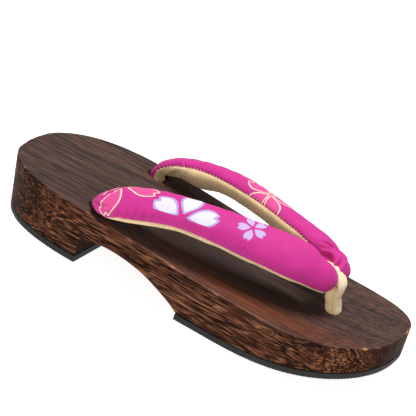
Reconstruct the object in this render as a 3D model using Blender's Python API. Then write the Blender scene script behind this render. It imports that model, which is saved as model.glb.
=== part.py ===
"""A wooden sandal for the left or right foot: a boat-shaped board on two rubber pads, and a padded strap.

Units are metres. +X points to the toe, +Y to the left and +Z up. The origin is on the floor,
under the middle of the board's outline.
"""

import math
from collections import namedtuple

import bmesh
import bpy
from mathutils import Matrix, Vector

OBJECT_NAME = "wooden_thong_sandal"

# Board
LENGTH = 0.2400
WIDTH = 0.0836
END_LENGTH = 0.0670          # each rounded end, along the board
END_POWER = 2.48             # 2 is an ellipse, more is squarer
HEEL_HEIGHT = 0.0320         # footbed above the floor at the heel
TOE_KICK = 0.0074            # how far the footbed rises again at the toe
TOE_KICK_LENGTH = 0.0560
HEEL_BLOCK_LENGTH = 0.0662
HEEL_RAKE = 0.0043           # how far the heel's end wall leans in at the floor
HEEL_FACE_SLOPE = 0.0020     # how far the block's front face leans back at its top
WAIST_LENGTH = 0.0655        # from the heel block's front face to the forefoot block
ARCH_HEIGHT = 0.0180         # crown of the arch above the floor
TREAD_FLAT = 0.0240          # flat part of the forefoot, behind the rocker
TOE_SPRING = 0.0168          # height of the tread at the toe's tip

# Rubber pads
RUBBER = 0.0039
GAP = 0.0003                 # between pieces that touch

# Holes in the board
FRONT_HOLE_FROM_TOE = 0.0407
FRONT_HOLE_RADIUS = 0.0040
FRONT_RECESS_RADIUS = 0.0080
FRONT_RECESS_DEPTH = 0.0060
REAR_HOLE_FROM_HEEL = 0.0670
REAR_HOLE_SPREAD = 0.0600    # between the two rear holes
REAR_HOLE_RADIUS = 0.0055
REAR_EXIT_AHEAD = 0.0095     # a rear hole comes out this far ahead of the heel block
REAR_EXIT_INSET = 0.0020
REAR_RECESS_RADIUS = 0.0080
REAR_RECESS_DEPTH = 0.0060    # along the hole

# Straps
STRAP_WIDTH = 0.0230         # across the padded band, seam to seam
STRAP_RISE = 0.0275          # inner seam above the footbed, at its highest
STRAP_TOP = 0.0086           # how far the cover swells above the seams
STRAP_UNDER = 0.0065         # how far the lining swells below them
STRAP_FULLNESS = 0.88        # 1 is an oval section, less is fuller
RIGHT_LIFT = 0.0014          # the right band stands this much higher than the left
FOLD_SETBACK = 0.0218        # from the front hole back to the start of the fold
TAIL_HALF_WIDTH = 0.0046     # the strap where it enters its hole
TAIL_FLATNESS = 0.80         # its thickness as a share of its width
TAIL_DEPTH = 0.0030          # how far it goes in
TAIL_CORD_RADIUS = 0.0030
TAIL_KNOT_RADIUS = 0.0072
TAIL_KNOT_HEIGHT = 0.0064

# Toe thong
LOOP_WIDTH = 0.0070
LOOP_PINCH = 0.0040          # the loop's width where the straps squeeze it
LOOP_THICKNESS = 0.0028
LOOP_CLEAR = 0.0020          # between the loop and the fold, at the middle
STEM_LENGTHWISE = 0.0078     # its two legs together, along the board
STEM_ACROSS = 0.0070
STEM_DROP = 0.0031           # from the fold's lower seam down to the stem's top
STEM_AHEAD = 0.0004
STEM_IN_HOLE = 0.0034        # radius of the stem inside the hole
FRONT_KNOT_RADIUS = 0.0064
FRONT_KNOT_HEIGHT = 0.0048

# How finely curves are divided
END_STEPS = 26
LINE_STEPS = 22
HOLE_SIDES = 28
ROW_STEPS = 2
TOP_STEPS = 10
UNDER_STEPS = 8
SEAM_STEPS = 3

# The footbed from heel to toe, without the toe's kick. Columns: along, height
FOOTBED = (
    (0.000, 0.972),
    (0.125, 1.000),
    (0.250, 0.994),
    (0.375, 0.959),
    (0.500, 0.897),
    (0.625, 0.844),
    (0.750, 0.834),
    (0.875, 0.836),
    (1.000, 0.838),
)

# The underside of the waist, from the heel block to the forefoot. Columns: along, height
WAIST = (
    (0.000, 0.725),
    (0.100, 0.890),
    (0.200, 0.976),
    (0.340, 1.000),
    (0.500, 0.930),
    (0.670, 0.745),
    (0.850, 0.400),
    (0.940, 0.190),
    (1.000, 0.000),
)

# The fold of the strap at the toe, from the middle outwards. The inner seam's place is ahead of the
# fold's start in strap widths, its place out is in halves of the gap that the loop needs.
StrapRow = namedtuple("StrapRow", "ahead gap spread rise turn drop width top under")
FOLD = (
    (0.370, 0.00, 0.000, 0.760, 0.0, 33.3, 0.500, 0.38, 0.50),
    (0.361, 0.50, 0.000, 0.780, 16.0, 35.8, 0.535, 0.42, 0.53),
    (0.342, 0.76, 0.000, 0.820, 22.0, 38.5, 0.575, 0.47, 0.58),
    (0.285, 0.95, 0.000, 0.960, 34.0, 47.2, 0.745, 0.72, 0.80),
    (0.178, 1.00, 0.006, 1.042, 50.0, 50.3, 0.870, 0.86, 0.94),
    (0.000, 1.00, 0.012, 1.085, 67.8, 45.0, 0.935, 0.96, 1.00),
)
# The band from the fold to its hole. The inner seam's place is behind the fold's start as a share of
# the run to the rear hole, and out as a share of half the spread between those holes.
BAND = (
    (-0.055, 1.00, 0.034, 1.082, 76.0, 38.5, 0.995, 0.97, 1.00),
    (-0.158, 1.00, 0.105, 1.060, 81.0, 32.6, 1.010, 0.97, 1.00),
    (-0.275, 1.00, 0.240, 1.045, 82.0, 32.0, 0.965, 0.96, 1.00),
    (-0.396, 1.00, 0.362, 1.010, 82.5, 29.8, 0.915, 0.95, 1.00),
    (-0.558, 1.00, 0.510, 0.920, 83.0, 26.4, 0.878, 0.90, 1.00),
    (-0.679, 1.00, 0.588, 0.835, 85.0, 27.6, 0.935, 0.83, 1.00),
    (-0.787, 1.00, 0.645, 0.715, 87.5, 28.8, 0.988, 0.76, 1.00),
    (-0.885, 1.00, 0.692, 0.545, 90.0, 24.5, 0.985, 0.67, 0.94),
    (-0.950, 1.00, 0.718, 0.375, 92.0, 20.5, 0.830, 0.54, 0.84),
    (-0.988, 1.00, 0.742, 0.228, 92.0, 14.0, 0.610, 0.42, 0.74),
)

# The loop round the fold. Columns: angle from the lower seam over the top, width from pinched 0 to full 1
LOOP = (
    (12, 1.0),
    (36, 1.0),
    (62, 0.9),
    (90, 0.7),
    (118, 0.3),
    (146, 0.0),
    (172, 0.0),
    (200, 0.0),
    (228, 0.0),
    (254, 0.2),
    (282, 0.6),
    (306, 0.8),
    (328, 0.9),
)

WOOD = ("charred_wood", (0.075, 0.036, 0.022), 0.55, 0.0)
RUBBER_BLACK = ("black_rubber", (0.022, 0.021, 0.020), 0.80, 0.0)
COTTON = ("magenta_cotton", (0.560, 0.030, 0.240), 0.85, 0.0)
VELVETEEN = ("beige_velveteen", (0.520, 0.360, 0.190), 0.95, 0.0)
FELT = ("cream_felt", (0.720, 0.560, 0.340), 0.95, 0.0)

HEEL_END = -LENGTH / 2
TOE_END = LENGTH / 2
HEEL_FACE = HEEL_END + HEEL_BLOCK_LENGTH
TREAD_START = HEEL_FACE + WAIST_LENGTH
ROCKER_START = TREAD_START + TREAD_FLAT
PAD_TOP = RUBBER + GAP
FRONT_HOLE = TOE_END - FRONT_HOLE_FROM_TOE
REAR_HOLE = HEEL_END + REAR_HOLE_FROM_HEEL
FOLD_START = FRONT_HOLE - FOLD_SETBACK
BAND_RUN = FOLD_START - REAR_HOLE
LOOP_GAP = LOOP_PINCH / 2 + 4 * GAP
OVERSHOOT = 0.006            # how far cutters and blanks reach past what they cut


def catmull_rom(rows, steps):
    """Rows of numbers, with steps - 1 smooth rows put between each two."""
    made = []
    last = len(rows) - 1
    for i in range(last):
        before, here, there, after = (rows[max(i - 1, 0)], rows[i], rows[i + 1], rows[min(i + 2, last)])
        for k in range(steps):
            t = k / steps
            made.append(tuple(
                0.5 * (2 * b + (c - a) * t + (2 * a - 5 * b + 4 * c - d) * t ** 2
                       + (3 * b - a - 3 * c + d) * t ** 3)
                for a, b, c, d in zip(before, here, there, after)))
    made.append(tuple(rows[last]))
    return made


def read_line(table, place):
    """The height of a two-column table at a place, on a smooth curve through its rows."""
    last = len(table) - 1
    i = max(k for k in range(last) if table[k][0] <= place or k == 0)
    slopes = []
    for k in (i, i + 1):
        low, high = table[max(k - 1, 0)], table[min(k + 1, last)]
        slopes.append((high[1] - low[1]) / (high[0] - low[0]))
    span = table[i + 1][0] - table[i][0]
    t = min(max((place - table[i][0]) / span, 0.0), 1.0)
    rise = table[i + 1][1] - table[i][1]
    return (table[i][1] + rise * t * t * (3 - 2 * t)
            + span * (slopes[0] * t * (1 - t) ** 2 - slopes[1] * t * t * (1 - t)))


def footbed_height(x):
    kick = max(0.0, (x - TOE_END + TOE_KICK_LENGTH) / TOE_KICK_LENGTH)
    return HEEL_HEIGHT * read_line(FOOTBED, (x - HEEL_END) / LENGTH) + TOE_KICK * kick ** 2


def tread_height(x):
    """The underside of the forefoot's pad: flat, then a rocker up to the toe."""
    past = max(0.0, (x - ROCKER_START) / (TOE_END - ROCKER_START))
    return TOE_SPRING * past ** 2


def waist_height(x):
    share = (x - HEEL_FACE + HEEL_FACE_SLOPE) / (WAIST_LENGTH + HEEL_FACE_SLOPE)
    return PAD_TOP + (ARCH_HEIGHT - PAD_TOP) * read_line(WAIST, share)


def steps_between(low, high, count):
    return [low + (high - low) * k / count for k in range(count + 1)]


def board_outline():
    """The plan outline: straight sides and two rounded ends."""
    quarter = []
    for k in range(END_STEPS + 1):
        angle = math.pi / 2 * k / END_STEPS
        x = END_LENGTH * max(0.0, math.cos(angle)) ** (2 / END_POWER)
        y = WIDTH / 2 * math.sin(angle) ** (2 / END_POWER)
        quarter.append((LENGTH / 2 - END_LENGTH + x, y))
    half = quarter + [(-x, y) for x, y in reversed(quarter)]
    return half + [(x, -y) for x, y in reversed(half[1:-1])]


def add_object(name, mesh, collection):
    thing = bpy.data.objects.new(name, mesh)
    collection.objects.link(thing)
    return thing


def slab(name, outline, thickness, collection, upright=False):
    """A flat outline with half its thickness on each side of its plane; upright turns Y up to Z."""
    curve = bpy.data.curves.new(name + "_outline", "CURVE")
    curve.dimensions = "2D"
    curve.fill_mode = "BOTH"
    curve.extrude = thickness / 2
    spline = curve.splines.new("POLY")
    spline.points.add(len(outline) - 1)
    for point, (x, y) in zip(spline.points, outline):
        point.co = (x, y, 0.0, 1.0)
    spline.use_cyclic_u = True
    drawn = bpy.data.objects.new(name + "_outline", curve)
    bpy.context.scene.collection.objects.link(drawn)
    if upright:
        drawn.rotation_euler = (math.pi / 2, 0.0, 0.0)
    bpy.context.view_layer.update()
    graph = bpy.context.evaluated_depsgraph_get()
    mesh = bpy.data.meshes.new_from_object(drawn.evaluated_get(graph))
    mesh.transform(drawn.matrix_world)
    bpy.data.objects.remove(drawn)
    weld = bmesh.new()
    weld.from_mesh(mesh)
    bmesh.ops.remove_doubles(weld, verts=weld.verts, dist=1e-6)
    bmesh.ops.recalc_face_normals(weld, faces=weld.faces)
    weld.to_mesh(mesh)
    weld.free()
    return add_object(name, mesh, collection)


def rod(name, start, end, radius, sides, collection):
    """A closed cylinder between two points."""
    mesh = bpy.data.meshes.new(name)
    axis = end - start
    build = bmesh.new()
    bmesh.ops.create_cone(build, cap_ends=True, segments=sides, radius1=radius, radius2=radius,
                          depth=axis.length)
    turn = axis.to_track_quat("Z", "Y").to_matrix().to_4x4()
    bmesh.ops.transform(build, matrix=Matrix.Translation((start + end) / 2) @ turn, verts=build.verts)
    build.to_mesh(mesh)
    build.free()
    return add_object(name, mesh, collection)


def pebble(name, centre, axis, radius, height, collection):
    """A ball flattened along an axis, for a knot."""
    mesh = bpy.data.meshes.new(name)
    build = bmesh.new()
    bmesh.ops.create_uvsphere(build, u_segments=16, v_segments=8, radius=radius)
    squash = Matrix.Diagonal((1.0, 1.0, height / 2 / radius, 1.0))
    turn = axis.to_track_quat("Z", "Y").to_matrix().to_4x4()
    bmesh.ops.transform(build, matrix=Matrix.Translation(centre) @ turn @ squash, verts=build.verts)
    build.to_mesh(mesh)
    build.free()
    return add_object(name, mesh, collection)


def loft(name, rings, collection):
    """A closed skin of triangles through rings of as many points each."""
    mesh = bpy.data.meshes.new(name)
    build = bmesh.new()
    rows = [[build.verts.new(point) for point in ring] for ring in rings]
    count = len(rings[0])
    for row, beyond in zip(rows, rows[1:]):
        for k in range(count):
            after = (k + 1) % count
            build.faces.new((row[k], row[after], beyond[after]))
            build.faces.new((row[k], beyond[after], beyond[k]))
    build.faces.new(reversed(rows[0]))
    build.faces.new(rows[-1])
    bmesh.ops.recalc_face_normals(build, faces=build.faces)
    build.to_mesh(mesh)
    build.free()
    return add_object(name, mesh, collection)


def combine(thing, cutter, operation):
    boolean = thing.modifiers.new(operation.lower() + "_" + cutter.name, "BOOLEAN")
    boolean.operation = operation
    boolean.solver = "EXACT"
    boolean.object = cutter
    cutter.display_type = "WIRE"
    cutter.hide_render = True


def paint(thing, finish):
    name, colour, roughness, metallic = finish
    material = bpy.data.materials.get(name)
    if material is None:
        material = bpy.data.materials.new(name)
        material.use_nodes = True
        shader = material.node_tree.nodes["Principled BSDF"]
        shader.inputs["Base Color"].default_value = (*colour, 1.0)
        shader.inputs["Roughness"].default_value = roughness
        shader.inputs["Metallic"].default_value = metallic
    thing.data.materials.clear()
    thing.data.materials.append(material)


def knot_seat(radius, height, hole_radius):
    """How far below a hole's rim the middle of a knot lies that is drawn up against it."""
    return height / 2 * math.sqrt(max(0.0, 1 - (hole_radius / radius) ** 2))


def rear_hole_axis(side):
    """Where a rear hole enters the footbed and where it leaves under the waist."""
    exit_x = HEEL_FACE + REAR_EXIT_AHEAD
    enter = Vector((REAR_HOLE, side * REAR_HOLE_SPREAD / 2, footbed_height(REAR_HOLE)))
    leave = Vector((exit_x, side * (REAR_HOLE_SPREAD / 2 - REAR_EXIT_INSET), waist_height(exit_x)))
    return enter, leave


def raked_blank(name, collection):
    """The outline drawn upwards, with the heel's end wall leaning in towards the floor."""
    height = HEEL_HEIGHT + TOE_KICK + TOE_SPRING + 2 * OVERSHOOT
    blank = slab(name, board_outline(), height, collection)
    middle = height / 2 - OVERSHOOT
    for vertex in blank.data.vertices:
        vertex.co.z += middle
        if vertex.co.x < HEEL_FACE:
            share = (vertex.co.x - HEEL_FACE) / (HEEL_END - HEEL_FACE)
            vertex.co.x += HEEL_RAKE * share * (1 - vertex.co.z / footbed_height(HEEL_END))
    return blank


def board_profile():
    """The board from the side, without its pads."""
    past_heel, past_toe = HEEL_END - OVERSHOOT, TOE_END + OVERSHOOT
    top = [(x, footbed_height(x)) for x in steps_between(HEEL_END, TOE_END, LINE_STEPS)]
    top = [(past_heel, top[0][1])] + top + [(past_toe, top[-1][1])]
    rocker = [(x, tread_height(x) + PAD_TOP)
              for x in steps_between(ROCKER_START, TOE_END, LINE_STEPS // 2)]
    rocker = [(TREAD_START, PAD_TOP)] + rocker + [(past_toe, rocker[-1][1])]
    waist_start = HEEL_FACE - HEEL_FACE_SLOPE
    waist = [(x, waist_height(x)) for x in steps_between(waist_start, TREAD_START, LINE_STEPS)]
    heel = [(past_heel, PAD_TOP), (HEEL_FACE, PAD_TOP)]
    return heel + waist[:-1] + rocker + list(reversed(top))


def make_board(parts, cutters):
    blank = raked_blank("board_blank", cutters)
    board = slab("board", board_profile(), WIDTH + 2 * OVERSHOOT, parts, upright=True)
    combine(board, blank, "INTERSECT")
    top, bottom = footbed_height(FRONT_HOLE) + OVERSHOOT, tread_height(FRONT_HOLE) + PAD_TOP
    bore = rod("front_hole", Vector((FRONT_HOLE, 0, top)), Vector((FRONT_HOLE, 0, -OVERSHOOT)),
               FRONT_HOLE_RADIUS, HOLE_SIDES, cutters)
    recess = rod("front_recess", Vector((FRONT_HOLE, 0, bottom + FRONT_RECESS_DEPTH)),
                 Vector((FRONT_HOLE, 0, -OVERSHOOT)), FRONT_RECESS_RADIUS, HOLE_SIDES, cutters)
    combine(board, bore, "DIFFERENCE")
    combine(board, recess, "DIFFERENCE")
    for side, word in ((1, "left"), (-1, "right")):
        enter, leave = rear_hole_axis(side)
        down = (leave - enter).normalized()
        past = leave + down * OVERSHOOT
        hole = rod("rear_hole_" + word, enter - down * OVERSHOOT, past, REAR_HOLE_RADIUS, HOLE_SIDES, cutters)
        rear_recess = rod("rear_recess_" + word, leave - down * REAR_RECESS_DEPTH, past, REAR_RECESS_RADIUS,
                          HOLE_SIDES, cutters)
        combine(board, hole, "DIFFERENCE")
        combine(board, rear_recess, "DIFFERENCE")
    paint(board, WOOD)
    return recess


def make_pads(parts, cutters, recess):
    blank = raked_blank("pad_blank", cutters)
    across = WIDTH + 2 * OVERSHOOT
    heel_side = [(HEEL_END - OVERSHOOT, 0.0), (HEEL_FACE, 0.0),
                 (HEEL_FACE, RUBBER), (HEEL_END - OVERSHOOT, RUBBER)]
    heel = slab("heel_pad", heel_side, across, parts, upright=True)
    under = [(x, tread_height(x)) for x in steps_between(ROCKER_START, TOE_END, LINE_STEPS // 2)]
    under = [(TREAD_START, 0.0)] + under + [(TOE_END + OVERSHOOT, under[-1][1])]
    over = [(x, z + RUBBER) for x, z in reversed(under)]
    forefoot = slab("forefoot_pad", under + over, across, parts, upright=True)
    for pad in (heel, forefoot):
        combine(pad, blank, "INTERSECT")
        paint(pad, RUBBER_BLACK)
    combine(forefoot, recess, "DIFFERENCE")


def strap_row(row, along_unit):
    """A table row as the inner seam's point, the chord to the outer seam, and the two swellings."""
    row = StrapRow(*row)
    x = FOLD_START + row.ahead * along_unit
    y = row.gap * LOOP_GAP + row.spread * REAR_HOLE_SPREAD / 2
    z = footbed_height(x) + row.rise * STRAP_RISE
    turn, drop = math.radians(row.turn), math.radians(row.drop)
    reach = row.width * STRAP_WIDTH
    chord = (reach * math.cos(drop) * math.cos(turn), reach * math.cos(drop) * math.sin(turn),
             -reach * math.sin(drop))
    return (x, y, z, *chord, row.top * STRAP_TOP, row.under * STRAP_UNDER)


def tail_rows():
    """The strap's end: upright at the footbed, then down along its hole."""
    enter, leave = rear_hole_axis(1)
    down = (leave - enter).normalized()
    half = TAIL_HALF_WIDTH
    mouth = enter - Vector((REAR_HOLE_RADIUS - half - GAP, 0, 0))
    end = mouth + down * (TAIL_DEPTH / -down.z)
    swelling = half * TAIL_FLATNESS
    return [
        (centre.x, centre.y - half, centre.z, 0.0, 2 * half, 0.0, swelling, swelling)
        for centre in (mouth + Vector((0, 0, 0.0006)), end)
    ]


def strap_sections():
    """Each section as middle, half the chord, the direction square to it, and the two swellings."""
    rows = [strap_row(row, STRAP_WIDTH) for row in FOLD]
    rows += [strap_row(row, BAND_RUN) for row in BAND]
    rows += tail_rows()
    first = rows[1]
    mirrored = (first[0], -first[1], first[2], first[3], -first[4], *first[5:])
    smooth = catmull_rom([mirrored] + rows, ROW_STEPS)[ROW_STEPS:]
    seams = [(Vector(row[:3]), Vector(row[3:6])) for row in smooth]
    middles = [inner + chord / 2 for inner, chord in seams]
    sections = []
    for k, row in enumerate(smooth):
        if k == 0:
            along = Vector((0.0, 1.0, 0.0))
        else:
            along = middles[min(k + 1, len(middles) - 1)] - middles[k - 1]
        chord = seams[k][1]
        up = chord.cross(along).normalized()
        sections.append((middles[k], chord / 2, up, row[6], row[7]))
    return sections


def other_side(section, lift):
    """The section's mirror image in the middle plane, raised by lift."""
    middle, half, up, top, under = section
    flip = Matrix.Diagonal((1.0, -1.0, 1.0))
    return flip @ middle + Vector((0, 0, lift)), flip @ half, flip @ up, top, under


def whole_strap():
    """Sections from the right hole round the fold to the left hole."""
    left = strap_sections()
    last = len(left) - 1
    right = [other_side(section, RIGHT_LIFT * math.sin(math.pi * k / last) ** 2)
             for k, section in enumerate(left)]
    return right[:0:-1] + left


def half_ring(section, over):
    """One closed ring: from the inner seam round the swelling to the outer seam, and back flat."""
    middle, half, up, top, under = section
    steps = TOP_STEPS if over else UNDER_STEPS
    sign = 1 if over else -1
    swelling = top if over else under
    ring = []
    for k in range(steps + 1):
        angle = math.pi * (1 - k / steps)
        across = math.copysign(abs(math.cos(angle)) ** STRAP_FULLNESS, math.cos(angle))
        rise = abs(math.sin(angle)) ** STRAP_FULLNESS if 0 < k < steps else 0.0
        ring.append(middle + half * across + up * sign * (GAP / 2 + (swelling - GAP / 2) * rise))
    for k in range(1, SEAM_STEPS + 1):
        across = 1 - 2 * k / (SEAM_STEPS + 1)
        ring.append(middle + half * across + up * sign * GAP / 2)
    return ring


def make_strap(name, over, finish, parts):
    strap = loft(name, [half_ring(section, over) for section in whole_strap()], parts)
    strap.data.shade_smooth()
    strap.data.set_sharp_from_angle(angle=math.radians(50))
    paint(strap, finish)


def oval_ring(centre, long_way, wide_way, power):
    """A ring of eight sides' rounded oval, long_way and wide_way from its centre."""
    ring = []
    for k in range(16):
        angle = 2 * math.pi * k / 16
        c, s = math.cos(angle), math.sin(angle)
        ring.append(centre + long_way * math.copysign(abs(c) ** power, c)
                    + wide_way * math.copysign(abs(s) ** power, s))
    return ring


def loop_rings(stem_top):
    """The flat loop: out of the stem's front leg, over the fold, through the gap and back under it."""
    middle, half, up, top, under = strap_sections()[0]
    reach = half.length
    forward = half.normalized()
    clear = LOOP_CLEAR + LOOP_THICKNESS / 2
    points, widths = [], []
    for angle, fullness in LOOP:
        angle = math.radians(angle)
        swelling = top if math.sin(angle) > 0 else under
        points.append(middle + forward * (reach + clear) * math.cos(angle)
                      + up * (swelling + clear) * math.sin(angle))
        widths.append(LOOP_PINCH + (LOOP_WIDTH - LOOP_PINCH) * fullness)
    leg = STEM_LENGTHWISE / 4
    sink = Vector((0, 0, -LOOP_THICKNESS))
    points = [stem_top + Vector((leg, 0, 0)) + sink] + points + [stem_top - Vector((leg, 0, 0)) + sink]
    widths = [LOOP_WIDTH] + widths + [LOOP_WIDTH]
    rows = catmull_rom([(*p, w) for p, w in zip(points, widths)], 2)
    rings = []
    for k, row in enumerate(rows):
        here = Vector(row[:3])
        along = Vector(rows[min(k + 1, len(rows) - 1)][:3]) - Vector(rows[max(k - 1, 0)][:3])
        side = Vector((0, 1, 0))
        thick = side.cross(along).normalized()
        rings.append(oval_ring(here, side * row[3] / 2, thick * LOOP_THICKNESS / 2, 0.7))
    return rings


def stem_rings(stem_top):
    """The stem from the fold down to the footbed and on through its hole to the knot."""
    mouth = footbed_height(FRONT_HOLE)
    ceiling = tread_height(FRONT_HOLE) + PAD_TOP + FRONT_RECESS_DEPTH
    knot = ceiling - GAP - knot_seat(FRONT_KNOT_RADIUS, FRONT_KNOT_HEIGHT, FRONT_HOLE_RADIUS)
    lengthwise, across, inside = STEM_LENGTHWISE / 2, STEM_ACROSS / 2, STEM_IN_HOLE
    foot = Vector((FRONT_HOLE, 0, mouth))
    rows = [
        (stem_top, lengthwise * 0.85, across * 0.85),
        (stem_top - Vector((0, 0, 0.0015)), lengthwise, across),
        (stem_top.lerp(foot, 0.5), lengthwise, across),
        (foot + Vector((0, 0, 0.0015)), lengthwise, across),
        (foot - Vector((0, 0, 0.0010)), inside, inside),
        (Vector((FRONT_HOLE, 0, knot)), inside, inside),
    ]
    return [oval_ring(centre, Vector((a, 0, 0)), Vector((0, b, 0)), 0.8) for centre, a, b in rows], knot


def make_thong(parts, cutters):
    middle, half, *_ = strap_sections()[0]
    lower_seam = middle + half
    stem_top = lower_seam + Vector((STEM_AHEAD, 0, -STEM_DROP))
    stem, knot_height = stem_rings(stem_top)
    thong = loft("toe_thong", stem, parts)
    loop = loft("thong_loop", loop_rings(stem_top), cutters)
    knot = pebble("thong_knot", Vector((FRONT_HOLE, 0, knot_height)), Vector((0, 0, 1)),
                  FRONT_KNOT_RADIUS, FRONT_KNOT_HEIGHT, cutters)
    combine(thong, loop, "UNION")
    combine(thong, knot, "UNION")
    paint(thong, FELT)


def make_tail_knots(parts, cutters):
    """The cord in each strap's end, down its hole to a knot in the recess under the waist."""
    for side, word in ((1, "left"), (-1, "right")):
        enter, leave = rear_hole_axis(side)
        down = (leave - enter).normalized()
        start = enter + down * ((TAIL_DEPTH + GAP + 0.0008) / -down.z)
        seat = knot_seat(TAIL_KNOT_RADIUS, TAIL_KNOT_HEIGHT, REAR_HOLE_RADIUS)
        centre = leave - down * (REAR_RECESS_DEPTH - GAP - seat)
        cord = rod("tail_knot_" + word, start, centre, TAIL_CORD_RADIUS, 14, parts)
        knot = pebble("knot_" + word, centre, down, TAIL_KNOT_RADIUS, TAIL_KNOT_HEIGHT, cutters)
        combine(cord, knot, "UNION")
        paint(cord, FELT)


def main():
    for thing in list(bpy.data.objects):
        bpy.data.objects.remove(thing)
    parts = bpy.data.collections.new(OBJECT_NAME)
    cutters = bpy.data.collections.new("cutters")
    for collection in (parts, cutters):
        bpy.context.scene.collection.children.link(collection)
    recess = make_board(parts, cutters)
    make_pads(parts, cutters, recess)
    make_strap("strap_cover", True, COTTON, parts)
    make_strap("strap_lining", False, VELVETEEN, parts)
    make_thong(parts, cutters)
    make_tail_knots(parts, cutters)


main()
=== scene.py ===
"""The looks of a wooden thong sandal: dark wood, black rubber, a padded printed strap and a felt thong.

Metres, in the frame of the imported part: +X to the toe, +Y to the left, +Z up, the floor at z = 0.
"""

import math
import random
from collections import namedtuple

import bmesh
import bpy
import numpy as np
from mathutils import Matrix, Vector, noise


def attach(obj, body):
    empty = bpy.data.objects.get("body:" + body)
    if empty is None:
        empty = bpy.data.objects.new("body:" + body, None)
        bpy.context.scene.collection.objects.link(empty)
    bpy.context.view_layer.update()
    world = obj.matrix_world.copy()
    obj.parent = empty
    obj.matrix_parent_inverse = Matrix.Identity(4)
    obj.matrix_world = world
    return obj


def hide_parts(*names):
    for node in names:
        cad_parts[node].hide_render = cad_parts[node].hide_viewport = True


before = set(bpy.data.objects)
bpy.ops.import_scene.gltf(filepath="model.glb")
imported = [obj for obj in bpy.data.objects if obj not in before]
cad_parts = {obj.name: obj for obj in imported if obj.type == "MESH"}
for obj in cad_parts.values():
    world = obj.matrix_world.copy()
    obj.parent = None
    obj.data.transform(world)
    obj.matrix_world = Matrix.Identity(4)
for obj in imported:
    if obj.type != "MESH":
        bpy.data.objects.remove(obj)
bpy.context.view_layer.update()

MM = 0.001

# The camera, from the photograph
CAMERA_PLACE = Vector((0.36014, -0.87253, 0.53904))
CAMERA_RIGHT = Vector((0.82489, 0.49766, 0.26813))
CAMERA_DOWN = Vector((0.44935, -0.28946, -0.84516))
CAMERA_FORWARD = Vector((-0.34299, 0.81765, -0.46240))
FOCAL_PIXELS = 2000.0
PHOTO_PIXELS = 416.0
SENSOR = 36.0

# The board and its pads, as in the part
LENGTH = 0.2400
WIDTH = 0.0836
END_LENGTH = 0.0670
END_POWER = 2.48
HEEL_HEIGHT = 0.0320
TOE_KICK = 0.0074
TOE_KICK_LENGTH = 0.0560
HEEL_BLOCK_LENGTH = 0.0662
HEEL_RAKE = 0.0043
HEEL_FACE_SLOPE = 0.0020
WAIST_LENGTH = 0.0655
ARCH_HEIGHT = 0.0180
TREAD_FLAT = 0.0240
TOE_SPRING = 0.0168
RUBBER = 0.0039
GAP = 0.0003
FRONT_HOLE_FROM_TOE = 0.0407
FRONT_HOLE_RADIUS = 0.0040
FRONT_RECESS_RADIUS = 0.0080
FRONT_RECESS_DEPTH = 0.0060
REAR_HOLE_FROM_HEEL = 0.0670
REAR_HOLE_SPREAD = 0.0600
REAR_HOLE_RADIUS = 0.0055
REAR_EXIT_AHEAD = 0.0095
REAR_EXIT_INSET = 0.0020
REAR_RECESS_RADIUS = 0.0080
REAR_RECESS_DEPTH = 0.0060
FOOTBED = (
    (0.000, 0.972),
    (0.125, 1.000),
    (0.250, 0.994),
    (0.375, 0.959),
    (0.500, 0.897),
    (0.625, 0.844),
    (0.750, 0.834),
    (0.875, 0.836),
    (1.000, 0.838),
)
WAIST = (
    (0.000, 0.725),
    (0.100, 0.890),
    (0.200, 0.976),
    (0.340, 1.000),
    (0.500, 0.930),
    (0.670, 0.745),
    (0.850, 0.400),
    (0.940, 0.190),
    (1.000, 0.000),
)

# The straps and the thong, as in the part
STRAP_WIDTH = 0.0230
STRAP_RISE = 0.0275
STRAP_TOP = 0.0086
STRAP_UNDER = 0.0065
STRAP_FULLNESS = 0.88
RIGHT_LIFT = 0.0014
FOLD_SETBACK = 0.0218
TAIL_HALF_WIDTH = 0.0046
TAIL_FLATNESS = 0.80
TAIL_DEPTH = 0.0030
TAIL_CORD_RADIUS = 0.0030
TAIL_KNOT_RADIUS = 0.0072
TAIL_KNOT_HEIGHT = 0.0064
LOOP_WIDTH = 0.0070
LOOP_PINCH = 0.0040
LOOP_THICKNESS = 0.0028
LOOP_CLEAR = 0.0004           # the felt lies closer over the fold than in the part
LOOP_CLEAR_AHEAD = 0.0018
STEM_LENGTHWISE = 0.0078
STEM_ACROSS = 0.0070
STEM_DROP = 0.0031
STEM_AHEAD = -0.0004
STEM_IN_HOLE = 0.0034
FRONT_KNOT_RADIUS = 0.0064
FRONT_KNOT_HEIGHT = 0.0048
StrapRow = namedtuple("StrapRow", "ahead gap spread rise turn drop width top under")
FOLD = (
    (0.400, 0.00, 0.000, 0.750, 0.0, 33.3, 0.500, 0.38, 0.50),
    (0.391, 0.50, 0.000, 0.765, 16.0, 35.8, 0.535, 0.44, 0.53),
    (0.366, 0.76, 0.000, 0.835, 22.0, 38.5, 0.600, 0.80, 0.58),
    (0.308, 0.95, 0.000, 0.940, 34.0, 47.2, 0.780, 1.02, 0.80),
    (0.182, 1.00, 0.006, 1.035, 50.0, 50.3, 0.870, 0.90, 0.94),
    (0.000, 1.00, 0.012, 1.085, 67.8, 45.0, 0.935, 0.96, 1.00),
)
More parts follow.
